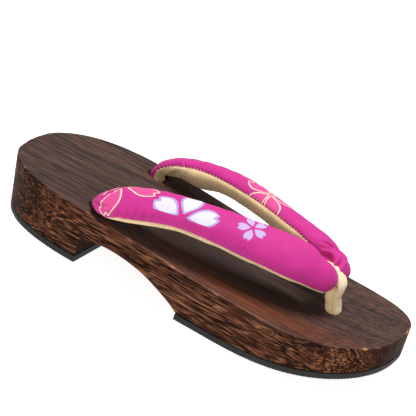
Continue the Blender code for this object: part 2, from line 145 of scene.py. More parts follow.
BAND = (
    (-0.055, 1.00, 0.034, 1.082, 76.0, 38.5, 0.995, 0.97, 1.00),
    (-0.158, 1.00, 0.105, 1.060, 81.0, 32.6, 1.010, 0.97, 1.00),
    (-0.275, 1.00, 0.240, 1.045, 82.0, 32.0, 0.965, 0.96, 1.00),
    (-0.396, 1.00, 0.362, 1.010, 82.5, 29.8, 0.915, 0.95, 1.00),
    (-0.558, 1.00, 0.510, 0.920, 83.0, 26.4, 0.878, 0.90, 1.00),
    (-0.679, 1.00, 0.588, 0.835, 85.0, 27.6, 0.935, 0.83, 1.00),
    (-0.787, 1.00, 0.645, 0.715, 87.5, 28.8, 0.988, 0.76, 1.00),
    (-0.885, 1.00, 0.692, 0.545, 90.0, 24.5, 0.970, 0.67, 0.84),
    (-0.950, 1.00, 0.718, 0.375, 92.0, 20.5, 0.800, 0.54, 0.66),
    (-0.988, 1.00, 0.742, 0.228, 92.0, 14.0, 0.590, 0.42, 0.60),
)
# The loop over the fold. Columns: angle, width from pinched 0 to full 1, shift to the left in widths
LOOP = (
    (12, 1.2, 0.08),
    (36, 1.5, 0.14),
    (62, 1.6, 0.16),
    (90, 1.2, 0.10),
    (118, 0.5, -0.02),
    (146, 0.0, -0.12),
    (172, 0.0, -0.10),
    (200, 0.0, -0.04),
    (228, 0.0, 0.00),
    (254, 0.2, 0.00),
    (282, 0.6, 0.00),
    (306, 0.8, 0.00),
    (328, 0.9, 0.00),
)

HEEL_END = -LENGTH / 2
TOE_END = LENGTH / 2
HEEL_FACE = HEEL_END + HEEL_BLOCK_LENGTH
TREAD_START = HEEL_FACE + WAIST_LENGTH
ROCKER_START = TREAD_START + TREAD_FLAT
PAD_TOP = RUBBER + GAP
FRONT_HOLE = TOE_END - FRONT_HOLE_FROM_TOE
REAR_HOLE = HEEL_END + REAR_HOLE_FROM_HEEL
FOLD_START = FRONT_HOLE - FOLD_SETBACK
BAND_RUN = FOLD_START - REAR_HOLE
LOOP_GAP = LOOP_PINCH / 2 + 4 * GAP

# How the board is finished
BOARD_STEP = 1.1 * MM        # between stations round the outline
SPINE_END = 0.0750           # the outline's ends fan out from here
RIM_RADIUS = 0.7 * MM
LOW_RIM_RADIUS = 0.5 * MM
BOARD_STEPS = (70, 3, 20, 22)  # over the top, round each rim, down the wall and back under
WEAR_AND_HIGHLIGHT_REACH = 1.6 * MM        # the rim's flecks of bare wood and its painted highlight fade over this
SHARP = math.radians(55)     # edges past this angle are shaded sharp
FACE_WINDOW = 4.0 * MM       # the heel block's front face takes the stations this near to it
FACE_FILLET = 1.6 * MM
FACE_CORNER = 0.5 * MM
FACET_DEPTH = 0.65 * MM      # of the knife cuts round the two ends
FACET_LENGTH = 10.0 * MM
GRAIN_RELIEF = 0.11 * MM
CUT_ABOVE = 50.0 * MM        # the cutters of upright holes reach from here
CUT_BELOW = -10.0 * MM       # down to here
CUT_PAST = 6.0 * MM          # and those of slanted holes this far past the wood
PAD_STEP = 0.4 * MM
PAD_RIMS = (0.25 * MM, 0.45 * MM)
PAD_STEPS = (5, 2, 6, 14)
TREAD_PITCH = 1.6 * MM
TREAD_DEPTH = 0.35 * MM

# How the straps are finished
CLOTH_STEP = 0.35 * MM
COVER_SIDES = 52
LINING_SIDES = 34
SEAM_ANGLE = 4.0             # degrees round the section from its widest line up to the outer seam
SEAM_ANGLE_AT_TAIL = -42.0
INNER_SEAM_ANGLE_AT_FOLD = 48.0
INNER_SEAM_TURNS = 1.7       # strap widths from the fold's middle
SAG = 1.7 * MM               # of the left lining, ahead of its hole
SAG_PLACE = 4.75             # strap widths from the fold's middle
SAG_WIDTH = 0.55             # strap widths
SAG_SLOPE = 4.0 * MM
SEAM_TURNS_FROM = 5.0        # strap widths from the fold's middle
SEAM_TURNS_TO = 5.75
SEAM_APART = 0.6             # degrees between a seam and the edge of each cloth
STITCH_PITCH = 2.3 * MM
STITCH_RADIUS = 0.14 * MM
STITCH_REACH = 0.75 * MM     # half its length across the seam
STITCH_SLANT = 0.28 * MM     # half its length along the seam
STITCH_BOW = 0.25 * MM
STITCH_SUNK = 0.14 * MM
STITCH_SIDES = 5
UNSTITCHED = 6.0 * MM        # at each tail
SEAM_GROOVE = 0.35 * MM
SEAM_GROOVE_REACH = 0.9 * MM
SEAM_PUCKER = 0.20 * MM
SEAM_PUCKER_REACH = 1.5 * MM
LUMP_HEIGHT = 0.16 * MM
LUMP_SIZE = 14.0 * MM
SMOOTH_TAIL = 5.0 * MM       # the relief fades over this length at each end
RIB_PITCH = 0.95 * MM
TAIL_PAST_MOUTH = 0.6 * MM
CORD_PAST_TAIL = 0.8 * MM
STEM_NARROWS = 1.5 * MM      # below the hole's mouth
STEM_OVER_MOUTH = 0.8 * MM
THONG_SIDES = 30
THONG_SQUARENESS = 0.72      # 1 would be an ellipse
THONG_ROUGHNESS = 0.035
THONG_KNOT_CORD = 1.5 * MM   # radii of the knotted cords
TAIL_KNOT_CORD = 1.9 * MM

# The felt's stray fibres
FIBRES = 1500
FIBRE_LENGTHS = (0.25 * MM, 0.75 * MM)
FIBRE_RINGS = ((0.0, 0.028 * MM), (0.55, 0.022 * MM))   # share of the length, radius
FIBRE_FREE = 0.3 * MM        # none grow lower over the wood than this

random.seed(11)


def catmull_rom(rows, steps):
    """Rows of numbers, with steps - 1 smooth rows put between each two."""
    made = []
    last = len(rows) - 1
    for i in range(last):
        before, here, there, after = (rows[max(i - 1, 0)], rows[i], rows[i + 1], rows[min(i + 2, last)])
        for k in range(steps):
            t = k / steps
            made.append(tuple(
                0.5 * (2 * b + (c - a) * t + (2 * a - 5 * b + 4 * c - d) * t ** 2
                       + (3 * b - a - 3 * c + d) * t ** 3)
                for a, b, c, d in zip(before, here, there, after)))
    made.append(tuple(rows[last]))
    return made


def read_line(table, place):
    """The height of a two-column table at a place, on a smooth curve through its rows."""
    last = len(table) - 1
    i = max(k for k in range(last) if table[k][0] <= place or k == 0)
    slopes = []
    for k in (i, i + 1):
        low, high = table[max(k - 1, 0)], table[min(k + 1, last)]
        slopes.append((high[1] - low[1]) / (high[0] - low[0]))
    span = table[i + 1][0] - table[i][0]
    t = min(max((place - table[i][0]) / span, 0.0), 1.0)
    rise = table[i + 1][1] - table[i][1]
    return (table[i][1] + rise * eased(t)
            + span * (slopes[0] * t * (1 - t) ** 2 - slopes[1] * t * t * (1 - t)))


def footbed_height(x):
    kick = max(0.0, (x - TOE_END + TOE_KICK_LENGTH) / TOE_KICK_LENGTH)
    return HEEL_HEIGHT * read_line(FOOTBED, (x - HEEL_END) / LENGTH) + TOE_KICK * kick ** 2


def tread_height(x):
    past = max(0.0, (x - ROCKER_START) / (TOE_END - ROCKER_START))
    return TOE_SPRING * past ** 2


def waist_height(x):
    share = (x - HEEL_FACE + HEEL_FACE_SLOPE) / (WAIST_LENGTH + HEEL_FACE_SLOPE)
    return PAD_TOP + (ARCH_HEIGHT - PAD_TOP) * read_line(WAIST, share)


def rear_hole_axis(side):
    exit_x = HEEL_FACE + REAR_EXIT_AHEAD
    enter = Vector((REAR_HOLE, side * REAR_HOLE_SPREAD / 2, footbed_height(REAR_HOLE)))
    leave = Vector((exit_x, side * (REAR_HOLE_SPREAD / 2 - REAR_EXIT_INSET), waist_height(exit_x)))
    return enter, leave


def knot_seat(radius, height, hole_radius):
    return height / 2 * math.sqrt(max(0.0, 1 - (hole_radius / radius) ** 2))


# Lines and meshes

def distances(line):
    """How far along a line each of its points is."""
    return np.concatenate([[0.0], np.cumsum(np.linalg.norm(np.diff(line, axis=0), axis=1))])


def unit(vectors):
    return vectors / np.linalg.norm(vectors, axis=-1)[..., None]


def eased(t):
    """0 to 1, with a soft start and end."""
    return t * t * (3 - 2 * t)


def signed_power(values, power):
    return np.sign(values) * np.abs(values) ** power


def add_object(name, mesh):
    thing = bpy.data.objects.new(name, mesh)
    bpy.context.scene.collection.objects.link(thing)
    return thing


def add_smooth(name, mesh):
    """An object with its faces turned outward and shaded smooth."""
    build = bmesh.new()
    build.from_mesh(mesh)
    bmesh.ops.recalc_face_normals(build, faces=build.faces)
    build.to_mesh(mesh)
    build.free()
    mesh.shade_smooth()
    return add_object(name, mesh)


def skin(name, rows, capped=True, fields=None):
    """A closed tube through rows of points; fields are values at each point, kept as attributes."""
    count, sides = rows.shape[0], rows.shape[1]
    number = np.arange(count * sides).reshape(count, sides)
    after = np.roll(number, -1, axis=1)
    quads = np.stack([number[:-1], after[:-1], after[1:], number[1:]], axis=-1).reshape(-1, 4)
    faces = quads.tolist()
    if capped:
        faces.append(number[0][::-1].tolist())
        faces.append(number[-1].tolist())
    mesh = bpy.data.meshes.new(name)
    mesh.from_pydata(rows.reshape(-1, 3).tolist(), [], faces)
    for field, values in (fields or {}).items():
        kind = "FLOAT_VECTOR" if values.ndim == 3 else "FLOAT"
        attribute = mesh.attributes.new(field, kind, "POINT")
        attribute.data.foreach_set("vector" if kind == "FLOAT_VECTOR" else "value",
                                   values.reshape(-1).astype(np.float32))
    return add_smooth(name, mesh)


def rod(start, end, radius, sides=48):
    """A closed cylinder between two points, for cutting."""
    mesh = bpy.data.meshes.new("cutter")
    axis = end - start
    build = bmesh.new()
    bmesh.ops.create_cone(build, cap_ends=True, segments=sides, radius1=radius, radius2=radius,
                          depth=axis.length)
    turn = axis.to_track_quat("Z", "Y").to_matrix().to_4x4()
    bmesh.ops.transform(build, matrix=Matrix.Translation((start + end) / 2) @ turn, verts=build.verts)
    build.to_mesh(mesh)
    build.free()
    return add_object("cutter", mesh)


def carve(thing, cutters):
    """Cuts the cutters out of the thing's mesh and removes them."""
    for cutter in cutters:
        boolean = thing.modifiers.new("cut", "BOOLEAN")
        boolean.operation = "DIFFERENCE"
        boolean.solver = "EXACT"
        boolean.object = cutter
    graph = bpy.context.evaluated_depsgraph_get()
    mesh = bpy.data.meshes.new_from_object(thing.evaluated_get(graph))
    thing.modifiers.clear()
    thing.data = mesh
    for cutter in cutters:
        bpy.data.objects.remove(cutter)


# The board and its pads

Station = namedtuple("Station", "x y out_x out_y along")


def outline_stations(first_x, last_x, step):
    """Evenly spaced points of the outline's left half, with their outward directions."""
    count = 600
    angles = [math.pi / 2 * k / count for k in range(count + 1)]
    end = [(LENGTH / 2 - END_LENGTH + END_LENGTH * max(0.0, math.cos(a)) ** (2 / END_POWER),
            WIDTH / 2 * math.sin(a) ** (2 / END_POWER)) for a in angles]
    line = np.array([(-x, y) for x, y in end] + end[::-1])
    walked = distances(line)
    first = np.interp(first_x, line[:, 0], walked) if first_x > HEEL_END else 0.0
    last = np.interp(last_x, line[:, 0], walked) if last_x < TOE_END else walked[-1]
    places = np.linspace(first, last, round((last - first) / step) + 1)
    xs, ys = (np.interp(places, walked, line[:, axis]) for axis in (0, 1))
    reach = 0.5 * MM
    stations = []
    for place, x, y in zip(places, xs, ys):
        back, fore = max(place - reach, 0.0), min(place + reach, walked[-1])
        run = np.array([np.interp(fore, walked, line[:, axis]) - np.interp(back, walked, line[:, axis])
                        for axis in (0, 1)])
        run /= np.linalg.norm(run)
        if y < 1e-9:
            run = np.array([0.0, 1.0 if x < 0 else -1.0])
        stations.append(Station(x, y, -run[1], run[0], place))
    return stations


def rake(point):
    """The heel's end wall leans in towards the floor."""
    if point.x < HEEL_FACE:
        share = (point.x - HEEL_FACE) / (HEEL_END - HEEL_FACE)
        point.x += HEEL_RAKE * share * (1 - point.z / footbed_height(HEEL_END))
    return point


Block = namedtuple("Block", "top_line low_line low_place rims steps relief")


def on_spine(x):
    return Vector((min(max(x, -SPINE_END), SPINE_END), 0.0, 0.0))


def block_row(block, station):
    """Points out over the top, down the wall and back under at a station, each with its share of the rim's
    flecks and painted highlight.
    """
    top_steps, rim_steps, wall_steps, low_steps = block.steps
    top_rim, low_rim = block.rims
    out = Vector((station.out_x, station.out_y, 0.0))
    edge = Vector((station.x, station.y, 0.0))
    low_x, low_z = block.low_place(station.x)
    low_edge = Vector((low_x, station.y, 0.0))
    quarter = [math.pi / 2 * k / rim_steps for k in range(rim_steps + 1)]
    points = []

    spine, inner = on_spine(station.x), edge - out * top_rim
    for k in range(top_steps):
        point = spine.lerp(inner, k / top_steps)
        point.z = block.top_line(point.x)
        distance = (inner - spine).length * (1 - k / top_steps) + top_rim
        points.append((point, "top", math.exp(-distance / WEAR_AND_HIGHLIGHT_REACH)))
    rim_z = block.top_line(station.x)
    for angle in quarter:
        point = edge - out * top_rim * (1 - math.sin(angle))
        point.z = rim_z - top_rim * (1 - math.cos(angle))
        points.append((point, "rim", 1.0))
    upper, lower = rim_z - top_rim, low_z + low_rim
    for k in range(1, wall_steps):
        point = edge.lerp(low_edge, k / wall_steps)
        point.z = upper + (lower - upper) * k / wall_steps
        points.append((point, "wall", math.exp(-(upper - point.z + top_rim) / WEAR_AND_HIGHLIGHT_REACH)))
    for angle in quarter:
        point = low_edge - out * low_rim * (1 - math.cos(angle))
        point.z = low_z + low_rim * (1 - math.sin(angle))
        points.append((point, "low_rim", 0.4))
    low_spine, inner = on_spine(low_x), low_edge - out * low_rim
    for k in range(1, low_steps + 1):
        point = inner.lerp(low_spine, k / low_steps)
        point.z = block.low_line(point.x) if abs(station.x) > SPINE_END else low_z
        points.append((point, "low", 0.0))
    return [(rake(point + block.relief(point, region, out, station)), rim_wear_and_highlight)
            for point, region, rim_wear_and_highlight in points]


def outline_block(name, stations, block, cuts=()):
    """A closed body under the outline, with a flat end at each station whose number is in cuts."""
    build = bmesh.new()
    wear_and_highlight = build.verts.layers.float.new("wear_and_highlight")
    lines = [block_row(block, station) for station in stations]
    halves = []
    for side in (1, -1):
        rows = []
        for line in lines:
            row = [build.verts.new((point.x, point.y * side, point.z)) for point, _ in line]
            for vertex, (_, rim_wear_and_highlight) in zip(row, line):
                vertex[wear_and_highlight] = rim_wear_and_highlight
            rows.append(row)
        for here, there in zip(rows, rows[1:]):
            for k in range(len(here) - 1):
                build.faces.new((here[k], here[k + 1], there[k + 1], there[k]))
        halves.append(rows)
    for cut in cuts:
        left, right = (rows[cut] for rows in halves)
        build.faces.new(left + right[::-1])
    bmesh.ops.remove_doubles(build, verts=build.verts, dist=0.001 * MM)
    bmesh.ops.recalc_face_normals(build, faces=build.faces)
    mesh = bpy.data.meshes.new(name)
    build.to_mesh(mesh)
    build.free()
    mesh.shade_smooth()
    mesh.set_sharp_from_angle(angle=SHARP)
    return add_object(name, mesh)


def facet(station):
    """How far a knife cut takes the outline in, at the ends only."""
    from_tip = min(abs(station.x - HEEL_END), abs(station.x - TOE_END))
    near = max(0.0, 1 - from_tip / (END_LENGTH * 0.8))
    ripple = noise.noise(Vector((station.along / FACET_LENGTH, 3.7, station.y * 10)))
    return FACET_DEPTH * near * max(0.0, ripple + 0.25)


def board_relief(point, region, out, station):
    """The grain stands a little proud, and the ends are cut by hand."""
    y = point.y
    lines = noise.noise(Vector((point.x * 9, y * 420, point.z * 380)))
    lines += 0.6 * noise.noise(Vector((point.x * 16, y * 800 + 9, point.z * 800)))
    depth = GRAIN_RELIEF * lines
    if region == "top":
        return Vector((0.0, 0.0, depth))
    if region == "low":
        return Vector((0.0, 0.0, -depth * 0.5)) if point.z > PAD_TOP + MM else Vector()
    back = facet(station)
    if region == "low_rim":
        return -out * back * 0.5
    return out * (depth - back)


def heel_corner():
    """The underside round the heel block's front face, from the block's foot to the waist."""
    top = HEEL_FACE - HEEL_FACE_SLOPE
    ceiling = waist_height(top)
    fillet, corner = FACE_FILLET, FACE_CORNER
    points = [(HEEL_FACE - FACE_WINDOW, PAD_TOP), (HEEL_FACE - corner, PAD_TOP),
              (HEEL_FACE - corner * 0.3, PAD_TOP + corner * 0.3), (HEEL_FACE, PAD_TOP + corner),
              (top + 0.3 * MM, ceiling - fillet), (top + fillet * 0.35, ceiling - fillet * 0.25)]
    points += [(x, waist_height(x)) for x in np.linspace(top + fillet, HEEL_FACE + FACE_WINDOW, 6)]
    return np.array(points)


def board_low_place(x):
    if x < HEEL_FACE - FACE_WINDOW:
        return x, PAD_TOP
    if x < HEEL_FACE + FACE_WINDOW:
        line = heel_corner()
        walked = distances(line)
        place = walked[-1] * (x - HEEL_FACE + FACE_WINDOW) / (2 * FACE_WINDOW)
        return tuple(float(np.interp(place, walked, line[:, axis])) for axis in (0, 1))
    return x, board_low_line(x)


def board_low_line(x):
    if x < HEEL_FACE:
        return PAD_TOP
    if x < TREAD_START:
        return waist_height(x)
    return tread_height(x) + PAD_TOP


def recess_ceiling():
    return tread_height(FRONT_HOLE) + PAD_TOP + FRONT_RECESS_DEPTH


def upright_rod(top, radius):
    """A cutter at the front hole, from a height down through the floor."""
    return rod(Vector((FRONT_HOLE, 0, top)), Vector((FRONT_HOLE, 0, CUT_BELOW)), radius)


def make_board():
    block = Block(footbed_height, board_low_line, board_low_place, (RIM_RADIUS, LOW_RIM_RADIUS), BOARD_STEPS,
                  board_relief)
    board = outline_block("footbed_wood", outline_stations(HEEL_END, TOE_END, BOARD_STEP), block)
    cutters = [upright_rod(CUT_ABOVE, FRONT_HOLE_RADIUS), upright_rod(recess_ceiling(), FRONT_RECESS_RADIUS)]
    for side in (1, -1):
        enter, leave = rear_hole_axis(side)
        down = (leave - enter).normalized()
        past = leave + down * CUT_PAST
        cutters.append(rod(enter - down * CUT_PAST, past, REAR_HOLE_RADIUS))
        cutters.append(rod(leave - down * REAR_RECESS_DEPTH, past, REAR_RECESS_RADIUS))
    carve(board, cutters)
    board.data.set_sharp_from_angle(angle=SHARP)
    return board


def pad_relief(point, region, out, station):
    """A toothed lower edge, where the fine tread runs out, and a slightly uneven wall."""
    uneven = 0.10 * MM * noise.noise(Vector((station.along * 160, point.z * 300, 5.1)))
    lift = Vector((0.0, 0.0, 0.0))
    if region == "low_rim":
        lift.z = TREAD_DEPTH * (0.5 + 0.5 * math.sin(2 * math.pi * station.along / TREAD_PITCH))
    if region in ("wall", "rim", "low_rim"):
        return out * (uneven - facet(station) * 0.5) + lift
    return lift


def make_pads():
    def make_pad(name, first_x, last_x, bottom, cut):
        block = Block(lambda x: bottom(x) + RUBBER, bottom, lambda x: (x, bottom(x)), PAD_RIMS, PAD_STEPS,
                      pad_relief)
        return outline_block(name, outline_stations(first_x, last_x, PAD_STEP), block, (cut,))

    heel = make_pad("heel_rubber", HEEL_END, HEEL_FACE, lambda x: 0.0, -1)
    fore = make_pad("forefoot_rubber", TREAD_START, TOE_END, tread_height, 0)
    carve(fore, [upright_rod(CUT_ABOVE, FRONT_RECESS_RADIUS)])
    fore.data.set_sharp_from_angle(angle=SHARP)
    return heel, fore


# The straps

def strap_row(row, along_unit):
    row = StrapRow(*row)
    x = FOLD_START + row.ahead * along_unit
    y = row.gap * LOOP_GAP + row.spread * REAR_HOLE_SPREAD / 2
    z = footbed_height(x) + row.rise * STRAP_RISE
    turn, drop = math.radians(row.turn), math.radians(row.drop)
    reach = row.width * STRAP_WIDTH
    chord = (reach * math.cos(drop) * math.cos(turn), reach * math.cos(drop) * math.sin(turn),
             -reach * math.sin(drop))
    return (x, y, z, *chord, row.top * STRAP_TOP, row.under * STRAP_UNDER)


def tail_rows():
    enter, leave = rear_hole_axis(1)
    down = (leave - enter).normalized()
    half = TAIL_HALF_WIDTH
    mouth = enter - Vector((REAR_HOLE_RADIUS - half - GAP, 0, 0))
    end = mouth + down * (TAIL_DEPTH / -down.z)
    swelling = half * TAIL_FLATNESS
    return [
        (centre.x, centre.y - half, centre.z, 0.0, 2 * half, 0.0, swelling, swelling)
        for centre in (mouth + Vector((0, 0, TAIL_PAST_MOUTH)), end)
    ]


Sections = namedtuple("Sections", "middle half up along_way top under along")


def left_sections():
    """Evenly spaced sections from the fold's middle to the left hole, as arrays."""
    rows = [strap_row(row, STRAP_WIDTH) for row in FOLD]
    rows += [strap_row(row, BAND_RUN) for row in BAND]
    rows += tail_rows()
    first = rows[1]
    mirrored = (first[0], -first[1], first[2], first[3], -first[4], *first[5:])
    fine = 40
    smooth = np.array(catmull_rom([mirrored] + rows, fine)[fine:])
    share = np.linspace(0.0, 1.0, len(smooth))
    middle = smooth[:, :3] + smooth[:, 3:6] / 2
    walked = distances(middle)
    places = np.linspace(0.0, walked[-1], round(walked[-1] / CLOTH_STEP) + 1)
    even = np.stack([np.interp(places, walked, column) for column in smooth.T], axis=1)
    share = np.interp(places, walked, share)
    middle = even[:, :3] + even[:, 3:6] / 2
    way = np.gradient(middle, axis=0)
    way[0] = (0.0, 1.0, 0.0)
    way = unit(way)
    up = unit(np.cross(even[:, 3:6], way))
    return Sections(middle, even[:, 3:6] / 2, up, way, even[:, 6], even[:, 7], places), share


def whole_strap():
    """Sections from the right hole round the fold to the left hole; along is negative on the right."""
    left, share = left_sections()
    flip = np.array([1.0, -1.0, 1.0])
    lift = np.zeros_like(left.middle)
    lift[:, 2] = RIGHT_LIFT * np.sin(np.pi * share) ** 2
    right = Sections(left.middle * flip + lift, left.half * flip, left.up * flip, left.along_way * -flip,
                     left.top, left.under, -left.along)
    return Sections(*(np.concatenate([b[:0:-1], a]) for a, b in zip(left, right)))


def seam_angle(along):
    """Where the outer seam lies round the section; it turns under where the strap narrows to its hole."""
    past = np.abs(along) / STRAP_WIDTH - SEAM_TURNS_FROM
    near_tail = np.clip(past / (SEAM_TURNS_TO - SEAM_TURNS_FROM), 0, 1)
    return np.radians(SEAM_ANGLE + (SEAM_ANGLE_AT_TAIL - SEAM_ANGLE) * eased(near_tail))


def inner_seam_angle(along):
    """Where the inner seam lies, past the section's widest line; it turns under at the fold."""
    near_fold = np.clip(1 - np.abs(along) / STRAP_WIDTH / INNER_SEAM_TURNS, 0, 1)
    return np.pi + np.radians(INNER_SEAM_ANGLE_AT_FOLD) * eased(near_fold)


def around(angle, top, under):
    """Shares of half the chord and heights of the section's oval, at an angle from its outer edge."""
    rise = signed_power(np.sin(angle), STRAP_FULLNESS)
    return signed_power(np.cos(angle), STRAP_FULLNESS), np.where(rise > 0, top, under) * rise


def swollen(strap, over, sides):
    """Points of one half's skin from seam to seam, their outward directions and places across."""
    inner, outer = inner_seam_angle(strap.along)[:, None], seam_angle(strap.along)[:, None]
    apart = math.radians(SEAM_APART)
    share = np.linspace(0.0, 1.0, sides + 1)[None, :]
    if over:
        angles = inner - apart + (outer - inner + 2 * apart) * share
    else:
        angles = inner + apart + (2 * np.pi + outer - inner - 2 * apart) * share
    across, height = around(angles, strap.top[:, None], strap.under[:, None])
    points = (strap.middle[:, None, :] + strap.half[:, None, :] * across[:, :, None]
              + strap.up[:, None, :] * height[:, :, None])
    tangent = np.gradient(points, axis=1)
    outward = unit(np.cross(strap.along_way[:, None, :], tangent))
    facing = np.sum(outward[:, sides // 2] * strap.up, axis=1) * (1 if over else -1)
    outward *= np.sign(facing)[:, None, None]
    steps = np.linalg.norm(np.diff(points, axis=1), axis=2)
    walked = np.concatenate([np.zeros((len(points), 1)), np.cumsum(steps, axis=1)], axis=1)
    return points, outward, walked - walked[:, -1:] / 2, walked[:, -1:] / 2


# Folds in the cloth. Along is from the fold's middle in strap widths, negative on the right strap.
# Across is 0 on top, -1 at the inner seam and 1 at the outer. The rest is in strap widths, and turn is 0
# for a fold that runs along the strap.
Crease = namedtuple("Crease", "along across length width depth turn")
COVER_CREASES = (
    (-5.10, 0.80, 0.20, 0.034, 0.034, 70),
    (-4.90, 0.82, 0.26, 0.036, 0.036, 80),
    (-4.70, 0.80, 0.30, 0.038, 0.038, 88),
    (-4.50, 0.82, 0.26, 0.034, 0.040, 95),
    (-4.30, 0.84, 0.20, 0.030, 0.030, 100),
    (-4.05, 0.88, 0.16, 0.024, 0.018, 100),
    (-3.70, 0.90, 0.14, 0.022, 0.014, 95),
    (-5.62, 0.45, 0.36, 0.040, 0.040, 10),
    (-5.70, -0.20, 0.36, 0.036, 0.036, -6),
    (5.60, 0.50, 0.42, 0.040, 0.045, -8),
    (5.70, -0.20, 0.36, 0.036, 0.040, 6),
    (5.20, -0.80, 0.24, 0.034, 0.036, 70),
    (4.70, 0.85, 0.24, 0.030, 0.026, 85),
    (4.45, 0.87, 0.20, 0.028, 0.022, 95),
    (4.20, 0.86, 0.18, 0.026, 0.018, 88),
    (0.26, -0.60, 0.36, 0.050, 0.080, -50),
    (0.30, -0.10, 0.36, 0.045, 0.070, -22),
    (0.56, -0.45, 0.32, 0.038, 0.045, -40),
)
LINING_CREASES = (
    (5.60, -0.45, 0.46, 0.052, 0.080, 30),
    (5.42, 0.05, 0.34, 0.046, 0.060, 38),
    (5.05, -0.70, 0.26, 0.034, 0.026, 70),
    (-5.60, -0.45, 0.40, 0.050, 0.060, -28),
    (-5.42, 0.05, 0.34, 0.044, 0.045, -34),
)


def folded(along, across, reach, creases):
    """The depth of all creases: a soft trough each, with a low ridge on both sides."""
    total = np.zeros_like(across)
    for row in creases:
        crease = Crease(*row)
        du = along - crease.along * STRAP_WIDTH
        dv = across - crease.across * reach
        turn = math.radians(crease.turn)
        a = (du * math.cos(turn) + dv * math.sin(turn)) / (crease.length * STRAP_WIDTH)
        b = np.abs(-du * math.sin(turn) + dv * math.cos(turn)) / (crease.width * STRAP_WIDTH)
        fade = np.clip(1 - a * a, 0, None) ** 2
        profile = np.exp(-b * b) - 0.45 * np.exp(-((b - 1.9) / 0.9) ** 2)
        total -= crease.depth * STRAP_WIDTH * fade * profile
    return total


def lumps(along, across, size, seed):
    """Soft unevenness between about -1 and 1, from a few long waves."""
    made = np.zeros_like(across)
    waves = random.Random(seed)
    for _ in range(7):
        angle, phase = waves.uniform(0, math.pi), waves.uniform(0, 2 * math.pi)
        rate = 2 * math.pi / size * waves.uniform(0.6, 1.6)
        made += np.sin(rate * (along * math.cos(angle) + across * math.sin(angle)) + phase)
    return made / 3.5


def seam_relief(along, distance):
    """The groove of the seam, and the cloth that swells between the stitches."""
    groove = -SEAM_GROOVE * np.exp(-(distance / SEAM_GROOVE_REACH) ** 2)
    swell = SEAM_PUCKER * (np.abs(np.sin(np.pi * along / STITCH_PITCH)) - 0.3)
    return groove + swell * np.exp(-(distance / SEAM_PUCKER_REACH) ** 2)


def make_strap_skin(name, strap, over):
    sides = COVER_SIDES if over else LINING_SIDES
    points, outward, across, reach = swollen(strap, over, sides)
    along = np.broadcast_to(strap.along[:, None], across.shape)
    distance = reach - np.abs(across)
    relief = folded(along, across, reach, COVER_CREASES if over else LINING_CREASES)
    relief = relief + LUMP_HEIGHT * lumps(along, across, LUMP_SIZE, 5 if over else 8)
    if not over:
        sagging = np.exp(-((along / STRAP_WIDTH - SAG_PLACE) / SAG_WIDTH) ** 2)
        relief = relief + SAG * sagging * np.clip(distance / SAG_SLOPE, 0, 1)
    relief = relief + seam_relief(along, distance)
    tail = np.clip((np.abs(strap.along) - strap.along.max()) / SMOOTH_TAIL + 1, 0, 1)[:, None]
    relief = np.minimum(relief, 1.0 - tail) * (1 - tail)
    relief[:, 0] = relief[:, -1] = -SEAM_GROOVE
    points = points + outward * relief[:, :, None]
    inside = []
    inner_count = 3
    for k in range(1, inner_count + 1):
        inside.append(points[:, -1] + (points[:, 0] - points[:, -1]) * k / (inner_count + 1))
    rows = np.concatenate([points, np.stack(inside, axis=1)], axis=1)
    place = np.zeros((*rows.shape[:2], 3))
    place[:, :, 0] = strap.along[:, None]
    place[:, :sides + 1, 1] = across
    place[:, :sides + 1, 2] = distance
    return skin(name, rows, fields={"cloth_place": place})


def stitch_path(strap, place, seam):
    """Five points of a slanting stitch that bows over a seam, and the directions out and along."""
    columns = (*strap.middle.T, *strap.half.T, *strap.up.T, *strap.along_way.T, strap.top, strap.under)
    pick = [np.interp(place, strap.along, column) for column in columns]
    middle, half, up, way = (Vector(pick[i:i + 3]) for i in (0, 3, 6, 9))
    out = half.normalized() * seam
    angle = seam_angle(place) if seam > 0 else inner_seam_angle(place)
    across, lift = (float(value) for value in around(angle, pick[12], pick[13]))
    base = middle + half * across + up * lift
    path = [base + up * (STITCH_REACH * t) + way * (STITCH_SLANT * t)
            + out * (STITCH_BOW * (1 - t * t) - STITCH_SUNK) for t in (-1.0, -0.5, 0.0, 0.5, 1.0)]
    return path, out, way


def make_stitches(strap):
    """One stitch every pitch on both seams of both straps, as one mesh."""
    points, faces = [], []
    count = int((strap.along.max() - UNSTITCHED) / STITCH_PITCH)
    ring = STITCH_SIDES
    for side in (1, -1):
        for seam in (1, -1):
            for n in range(3, count):
                path, out, way = stitch_path(strap, side * (n + 0.5) * STITCH_PITCH, seam)
                start, last = len(points), len(path) - 1
                for k, here in enumerate(path):
                    swell = STITCH_RADIUS * (0.6 if k in (0, last) else 1.0)
                    for j in range(ring):
                        angle = 2 * math.pi * j / ring
                        points.append(here + (out * math.cos(angle) + way * math.sin(angle)) * swell)
                for k in range(last):
                    for j in range(ring):
                        a, b = start + k * ring + j, start + k * ring + (j + 1) % ring
                        faces.append((a, b, b + ring, a + ring))
                faces.append(tuple(start + j for j in reversed(range(ring))))
                faces.append(tuple(start + last * ring + j for j in range(ring)))
    mesh = bpy.data.meshes.new("seam_stitches")
    mesh.from_pydata(points, [], faces)
    return add_smooth("seam_stitches", mesh)


# The thong and the knots

def oval_rows(rows, seed):
    """Rings of the thong's strip. A row is a centre, half its width in Y and half its thickness."""
    rows = np.array(rows)
    centre = rows[:, :3]
    side = np.array([0.0, 1.0, 0.0])
    thick = unit(np.cross(side, unit(np.gradient(centre, axis=0))))
    angles = 2 * np.pi * np.arange(THONG_SIDES) / THONG_SIDES
    c, s = signed_power(np.cos(angles), THONG_SQUARENESS), signed_power(np.sin(angles), THONG_SQUARENESS)
    walked = distances(centre)
    uneven = lumps(walked[:, None] + np.zeros(THONG_SIDES),
                   angles[None, :] * 3 * MM + np.zeros((len(rows), 1)), 5 * MM, seed)
    grow = 1 + THONG_ROUGHNESS * uneven
    return (centre[:, None, :] + side * (c[None, :] * rows[:, 3:4] * grow)[:, :, None]
            + thick[:, None, :] * (s[None, :] * rows[:, 4:5] * grow)[:, :, None])


